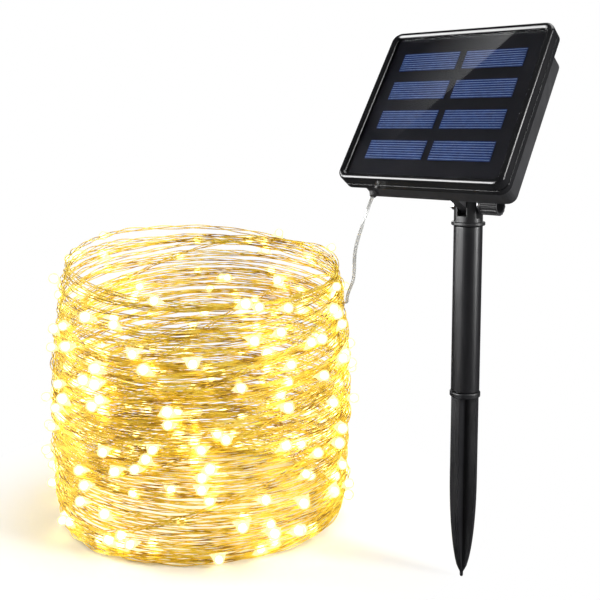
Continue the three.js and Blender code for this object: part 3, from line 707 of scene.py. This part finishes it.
def lead_pieces(name, points, replaced):
    """One part of the two-core lead: its clear jacket and the tinned cores in it."""
    line = fine_route(points)
    _, a, b = side_frames(line)
    jacket_v, jacket_f, core_v, core_f = [], [], [], []
    for side in (-1.0, 1.0):
        track = line + a * side * LEAD_HALF_GAP
        v, f = tube_arrays(track, LEAD_JACKET_R, 14, len(jacket_v))
        jacket_v += list(v)
        jacket_f += f
        v, f = tube_arrays(track, LEAD_CORE_R, 8, len(core_v))
        core_v += list(v)
        core_f += f
    jacket = mesh_piece(name, jacket_v, jacket_f, MATERIALS["clear_pvc"])
    core = mesh_piece(name + "_cores", core_v, core_f, MATERIALS["tinned_core"])
    for piece in (jacket, core):
        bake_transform(piece)
    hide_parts(replaced)


lead_pieces("lead_top", LEAD_UPPER, "lead_upper")
lead_pieces(
    "lead_bottom", LEAD_LOWER, "lead_lower"
)


# ------------------------------------------------------------------ silver lines on the cells
HEAD_TILT = math.radians(-34.5)
TILT_AXIS_Z = 0.2235
CELL_W = 0.0377
CELL_H = 0.0126
CELL_PITCH_X = 0.042
CELL_PITCH_Z = 0.0206
PANEL_X = -0.010
PANEL_Z = 0.0398
RIM_Y = -0.0444
CELL_DEPTH = 0.0027
LINE_COUNT = 8
LINE_H = 0.00027
LINE_T = 0.00006
LINE_LIFT = 0.00002
LINE_END_GAP = 0.0003


def head_point(x, y, z):
    """A point given in the untilted panel head, where it is at rest."""
    c, s = math.cos(HEAD_TILT), math.sin(HEAD_TILT)
    return (x, y * c - z * s, TILT_AXIS_Z + y * s + z * c)


def cell_lines():
    """The thin silver lines across the eight cells."""
    verts, faces = [], []
    back = RIM_Y + CELL_DEPTH - LINE_LIFT
    front = back - LINE_T
    for column in (-0.5, 0.5):
        for row in (-1.5, -0.5, 0.5, 1.5):
            cx = PANEL_X + column * CELL_PITCH_X
            cz = PANEL_Z + row * CELL_PITCH_Z
            for line in range(LINE_COUNT):
                z = cz + CELL_H * ((line + 0.5) / LINE_COUNT - 0.5)
                x0, x1 = cx - CELL_W / 2 + LINE_END_GAP, cx + CELL_W / 2 - LINE_END_GAP
                z0, z1 = z - LINE_H / 2, z + LINE_H / 2
                base = len(verts)
                for y in (back, front):
                    for x, zz in ((x0, z0), (x1, z0), (x1, z1), (x0, z1)):
                        verts.append(head_point(x, y, zz))
                faces += [
                    [base + 0, base + 3, base + 2, base + 1][::-1],
                    [base + 4, base + 5, base + 6, base + 7],
                ]
                for q in range(4):
                    q2 = (q + 1) % 4
                    faces.append([base + q, base + q2, base + 4 + q2, base + 4 + q])
    return verts, faces


lines = mesh_piece("cell_fingers", *cell_lines(), MATERIALS["silver_fingers"], soft=False)
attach(lines, "head")

# ------------------------------------------------------------------ floor, light, world
FLOOR_HALF = 14.0
FLOOR_LIT_TO = 0.115
FLOOR_WHITE_FROM = 0.195
WORLD_FELT = 0.06

# the floor takes the lamps' light near the coil and is plain white further out
floor_mat, nt, out = new_material("studio_floor")
coord = nt.nodes.new("ShaderNodeTexCoord").outputs["Object"]
bsdf = nt.nodes.new("ShaderNodeBsdfPrincipled")
nt.links.new(
    ramp(nt, noise(nt, coord, 3.0, 3.0), [(0.3, (0.90, 0.90, 0.90)), (0.7, (0.93, 0.93, 0.93))]),
    bsdf.inputs["Base Color"],
)
nt.links.new(spread(nt, noise(nt, coord, 20.0, 3.0), 0.75, 0.85), bsdf.inputs["Roughness"])
glow = nt.nodes.new("ShaderNodeEmission")
far = add(nt, "ShaderNodeVectorMath")
far.operation = "DISTANCE"
far.inputs[1].default_value = (*COIL_CENTRE, 0.0)
nt.links.new(coord, far.inputs[0])
floor_mix = nt.nodes.new("ShaderNodeMixShader")
nt.links.new(spread(nt, far.outputs["Value"], 0.0, 1.0, FLOOR_LIT_TO, FLOOR_WHITE_FROM), floor_mix.inputs[0])
nt.links.new(bsdf.outputs["BSDF"], floor_mix.inputs[1])
nt.links.new(glow.outputs["Emission"], floor_mix.inputs[2])
nt.links.new(floor_mix.outputs["Shader"], out.inputs["Surface"])
floor = mesh_piece(
    "studio_floor",
    [(x * FLOOR_HALF, y * FLOOR_HALF, 0.0) for x, y in ((-1, -1), (1, -1), (1, 1), (-1, 1))],
    [[0, 1, 2, 3]],
    floor_mat,
    soft=False,
)
floor.visible_glossy = False
lit.objects.link(floor)

world = bpy.data.worlds.new("studio")
SCENE.world = world
world.use_nodes = True
wt = world.node_tree
wt.nodes.clear()
world_out = wt.nodes.new("ShaderNodeOutputWorld")
seen = wt.nodes.new("ShaderNodeBackground")
seen.inputs["Color"].default_value = (1.0, 1.0, 1.0, 1.0)
seen.inputs["Strength"].default_value = 1.0
felt = wt.nodes.new("ShaderNodeBackground")
felt.inputs["Color"].default_value = (1.0, 1.0, 1.0, 1.0)
felt.inputs["Strength"].default_value = WORLD_FELT
kind = wt.nodes.new("ShaderNodeLightPath")
choose = wt.nodes.new("ShaderNodeMixShader")
wt.links.new(kind.outputs["Is Camera Ray"], choose.inputs[0])
wt.links.new(felt.outputs["Background"], choose.inputs[1])
wt.links.new(seen.outputs["Background"], choose.inputs[2])
wt.links.new(choose.outputs["Shader"], world_out.inputs["Surface"])


def softbox(name, place, target, width, height, watts):
    data = bpy.data.lights.new(name, "AREA")
    data.shape = "RECTANGLE"
    data.size = width
    data.size_y = height
    data.energy = watts
    obj = bpy.data.objects.new(name, data)
    obj.location = place
    aim = Vector(target) - Vector(place)
    obj.rotation_euler = aim.to_track_quat("-Z", "Y").to_euler()
    SCENE.collection.objects.link(obj)


AIM = (-0.10, 0.0, 0.14)
softbox("overhead", (0.35, 0.75, 2.2), (-0.1, 0.0, 0.0), 1.9, 1.9, 43.0)
softbox("left_box", (-1.5, -0.7, 0.55), AIM, 0.5, 1.3, 24.0)
softbox("right_box", (1.5, 0.35, 0.6), AIM, 0.5, 1.3, 42.0)

# soft cards that only gloss can see; the wires and lamps don't see them
not_carded = bpy.data.collections.new("not_by_cards")
SCENE.collection.children.link(not_carded)
for piece in (string, drops, cores):
    not_carded.objects.link(piece)
for entry in not_carded.collection_objects:
    entry.light_linking.link_state = "EXCLUDE"


def gloss_card(name, corners, strength, fades):
    """A glowing card. Each fade is (axis, start, end, share at the start, share at the end)."""
    mat, nt, out = new_material(name)
    tex = nt.nodes.new("ShaderNodeTexCoord").outputs["UV"]
    split = nt.nodes.new("ShaderNodeSeparateXYZ")
    nt.links.new(tex, split.inputs["Vector"])
    power = nt.nodes.new("ShaderNodeValue").outputs[0]
    power.default_value = strength
    for axis, start, end, first, last in fades:
        product = nt.nodes.new("ShaderNodeMath")
        product.operation = "MULTIPLY"
        nt.links.new(power, product.inputs[0])
        nt.links.new(spread(nt, split.outputs[axis], first, last, start, end), product.inputs[1])
        power = product.outputs[0]
    shine = nt.nodes.new("ShaderNodeEmission")
    nt.links.new(power, shine.inputs["Strength"])
    nt.links.new(shine.outputs["Emission"], out.inputs["Surface"])
    card = mesh_piece(name, corners, [[0, 1, 2, 3]], mat, soft=False)
    uv = card.data.uv_layers.new(name="UVMap")
    for loop, value in zip(uv.data, ((0, 0), (1, 0), (1, 1), (0, 1))):
        loop.uv = value
    card.visible_camera = False
    card.visible_diffuse = False
    card.visible_shadow = False
    card.light_linking.receiver_collection = not_carded
    mat.cycles.emission_sampling = "NONE"


CARD_CENTRE = Vector((-0.47316, -0.27216, 1.00758))
CARD_X = Vector((-0.48900, 0.87228, 0.0))
CARD_Y = Vector((0.70577, 0.39566, 0.58766))
SHEEN_CORNERS = [
    CARD_CENTRE + CARD_X * cx + CARD_Y * cy
    for cx, cy in ((-0.0065, -0.13), (0.17, -0.13), (0.21, 0.26), (0.0369, 0.26))
]
gloss_card("sheen_card", SHEEN_CORNERS, 1.65, [("X", 0.02, 0.44, 1.0, 0.0), ("Y", 0.05, 0.95, 0.0, 1.0)])


def upright_card(name, place, target, width, height, strength, fades):
    """A card standing upright at place, facing target."""
    aim = (Vector(target) - Vector(place)).normalized()
    across = Vector((-aim.y, aim.x, 0.0)).normalized() * width / 2
    up = Vector((0.0, 0.0, height / 2))
    middle = Vector(place)
    corners = [middle - across - up, middle + across - up, middle + across + up, middle - across + up]
    gloss_card(name, corners, strength, fades)


SOFT_SIDES = [("X", 0.0, 0.3, 0.0, 1.0), ("X", 0.7, 1.0, 1.0, 0.0)]
SOFT_ENDS = [("Y", 0.0, 0.3, 0.0, 1.0), ("Y", 0.7, 1.0, 1.0, 0.0)]
upright_card("rim_card", (-0.66, -1.02, 0.60), (0.0, 0.0, 0.3), 1.30, 1.16, 23.0, SOFT_SIDES + SOFT_ENDS)
upright_card("back_card", (-1.05, 1.15, 0.85), (0.0, 0.0, 0.3), 1.20, 0.80, 5.5, SOFT_SIDES + SOFT_ENDS)

SCENE.view_settings.view_transform = "Standard"
